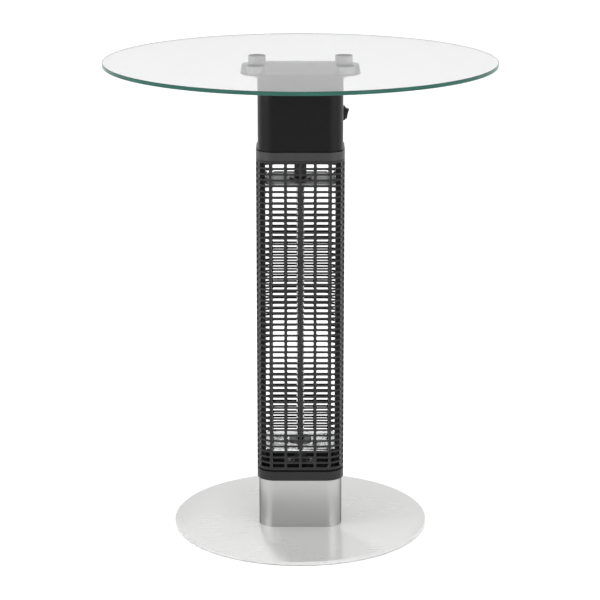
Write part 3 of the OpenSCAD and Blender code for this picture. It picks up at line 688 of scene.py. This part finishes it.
def addMarks(piece):
    # a bar and a ring, raised a little above the two halves of the rocker's face
    slope = (rocker["faceEnd"] - rocker["faceMiddle"]) / rocker["faceReach"]
    out = rocker["faceMiddle"] + slope * rocker["markAt"] - rocker["sunk"]
    deselectAll()
    bpy.ops.mesh.primitive_plane_add(size=1, location=(0, 0, 0))
    bar = bpy.context.object
    bar.scale = (rocker["barSize"][1] * mm, rocker["barSize"][0] * mm, 1)
    settle(bar)
    deselectAll()
    bpy.ops.mesh.primitive_circle_add(vertices=32, radius=rocker["ringRadius"] * mm, fill_type="NGON")
    ring = bpy.context.object
    edit(ring)
    bpy.ops.mesh.select_all(action="SELECT")
    bpy.ops.mesh.inset(thickness=rocker["ringWidth"] * mm)
    bpy.ops.mesh.delete(type="FACE")
    leave()
    pivot = Matrix.Translation(Vector(rocker["pivot"]) * mm)
    turn = pivot @ Matrix.Rotation(radians(rocker["tilt"]), 4, "Y")
    for mark, side in ((bar, 1), (ring, -1)):
        edit(mark)
        bpy.ops.mesh.select_all(action="SELECT")
        bpy.ops.mesh.extrude_region_move()
        bpy.ops.transform.translate(value=(0, 0, (rocker["proud"] + rocker["sunk"]) * mm))
        bpy.ops.mesh.select_all(action="SELECT")
        bpy.ops.mesh.normals_make_consistent(inside=False)
        leave()
        # the mark's own up becomes outward, and its length stands upright
        stand = Matrix.Translation((out * mm, 0, side * rocker["markAt"] * mm))
        lean = Matrix.Rotation(pi / 2 - side * atan(slope), 4, "Y")
        mark.matrix_world = turn @ stand @ lean
        settle(mark)
        mark.data.materials.append(finishes["markPaint"])
    joinPieces("switchRocker", [piece, bar, ring])


def refine(node, radius):
    mesh = nodes[node].data.copy()
    piece = bpy.data.objects.new(inCamel(node), mesh)
    mesh.name = piece.name
    bpy.context.scene.collection.objects.link(piece)
    edit(piece)
    bpy.ops.mesh.select_all(action="SELECT")
    bpy.ops.mesh.remove_doubles(threshold=1e-6)
    bpy.ops.mesh.select_all(action="SELECT")
    bpy.ops.mesh.dissolve_limited(angle_limit=radians(0.5))
    leave()
    if radius:
        soften(piece, radius)
    else:
        smoothShade(piece, 60 if node.startswith("lead") else 30)
    if node == "base_plate":
        edit(piece)
        bpy.ops.mesh.select_all(action="SELECT")
        bpy.ops.uv.cube_project(cube_size=1.0)
        leave()
    finish = finishes[otherFinish.get(node, slots[node])]
    finishPiece(piece, slots[node], finish, node, body=nodeBody(node))
    if node == "lower_ring":
        # painted shade in the lower ring's recesses and inside
        paintRingShade(piece)
    if node == "switch_rocker":
        addMarks(piece)


def refinePieces():
    for node, radius in softPieces.items():
        refine(node, radius)
    print("soft-edged pieces made:", len(softPieces))


# pucks between the plate and the glass

puckShape = {
    "radius": 13.5,
    "edge": 0.35,
    "sides": 48,
}


def makePucks():
    low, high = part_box("glass_pucks")
    radius = puckShape["radius"] * mm
    place = (high.x - radius, high.y - radius)
    puck = addDrum("glassPucks", place, radius, low.z, high.z, puckShape["sides"])
    edit(puck)
    pick("EDGE", lambda edge: liesAt(edge, 2, low.z) or liesAt(edge, 2, high.z))
    bpy.ops.mesh.bevel(affect="EDGES", offset=puckShape["edge"] * mm, segments=4, profile=0.5)
    leave()
    smoothShade(puck, 20)
    pucks = [puck]
    for side, end in ((-1, 1), (1, -1), (-1, -1)):
        made = copyPiece(puck, "puck")
        made.location = ((side - 1) * place[0], (end - 1) * place[1], 0)
        pucks.append(settle(made))
    finishPiece(joinPieces("glassPucks", pucks), "puck_metal", finishes["puck_metal"], "glass_pucks")
    print("pucks made")


# studio

studio = {
    "cameraPlace": (-0.0006, -3.171, 1.2094),
    "cameraPitch": 0.2605,
    "lens": 126.06,
    "floorReach": 30.0,
    "floorColour": (0.95, 0.95, 0.95),
    "skyStrength": (0.74, 1.3),
    "skyRise": (0.25, 0.5),
    "panelTarget": (0, 0, 0.55),
    "panels": {
        # place on the right-hand side, width, height, power
        "sidePanel": ((1.6, 0.4, 0.95), 1.6, 1.2, 5.0),
        "frontPanel": ((1.9, -1.3, 0.95), 1.8, 1.3, 20.0),
    },
}


def addCamera():
    data = bpy.data.cameras.new("camera")
    data.lens = studio["lens"]
    data.sensor_width = 36
    data.clip_end = 100
    camera = bpy.data.objects.new("camera", data)
    camera.location = studio["cameraPlace"]
    camera.rotation_euler = (pi / 2 - studio["cameraPitch"], 0, 0)
    bpy.context.scene.collection.objects.link(camera)
    bpy.context.scene.camera = camera


def addFloor():
    deselectAll()
    bpy.ops.mesh.primitive_plane_add(size=2 * studio["floorReach"], location=(0, 0, 0))
    floor = bpy.context.object
    floor.name = "floor"
    material, tree, shader = startMaterial("paleFloor", studio["floorColour"], 0.0, 0.9)
    shader.inputs["Specular IOR Level"].default_value = 0.0
    floor.data.materials.append(material)


def addPanel(name, side):
    place, width, height, power = studio["panels"][name]
    data = bpy.data.lights.new(name, "AREA")
    data.shape = "RECTANGLE"
    data.size = width
    data.size_y = height
    data.energy = power
    panel = bpy.data.objects.new(name, data)
    panel.location = (side * place[0], place[1], place[2])
    aim = Vector(studio["panelTarget"]) - panel.location
    panel.rotation_euler = aim.to_track_quat("-Z", "Y").to_euler()
    panel.visible_camera = False
    bpy.context.scene.collection.objects.link(panel)
    return panel


def addSky():
    # a plain white sky, a little darker near the horizon than overhead
    world = bpy.data.worlds.new("studioWorld")
    bpy.context.scene.world = world
    world.use_nodes = True
    tree = world.node_tree
    background = tree.nodes["Background"]
    background.inputs["Color"].default_value = (1, 1, 1, 1)
    way = addNode(tree, "ShaderNodeTexCoord").outputs["Generated"]
    height = addNode(tree, "ShaderNodeSeparateXYZ", {"Vector": way}).outputs["Z"]
    strength = spread(tree, height, *studio["skyStrength"], *studio["skyRise"])
    tree.links.new(strength, background.inputs["Strength"])


def addPanels():
    return [addPanel(name, side) for side in (-1, 1) for name in studio["panels"]]


def keepOffGlass(panels):
    # the table top doesn't mirror the light panels
    unlit = bpy.data.collections.new("unlitGlass")
    unlit.objects.link(bpy.data.objects["glassTable"])
    for item in unlit.collection_objects:
        item.light_linking.link_state = "EXCLUDE"
    for panel in panels:
        panel.light_linking.receiver_collection = unlit


addCamera()
addFloor()
addSky()
panels = addPanels()
bpy.context.scene.view_settings.view_transform = "Standard"
print("studio ready")
dressCadNodes()
makeGuard()
makeGlassTop()
makePucks()
refinePieces()
keepOffGlass(panels)
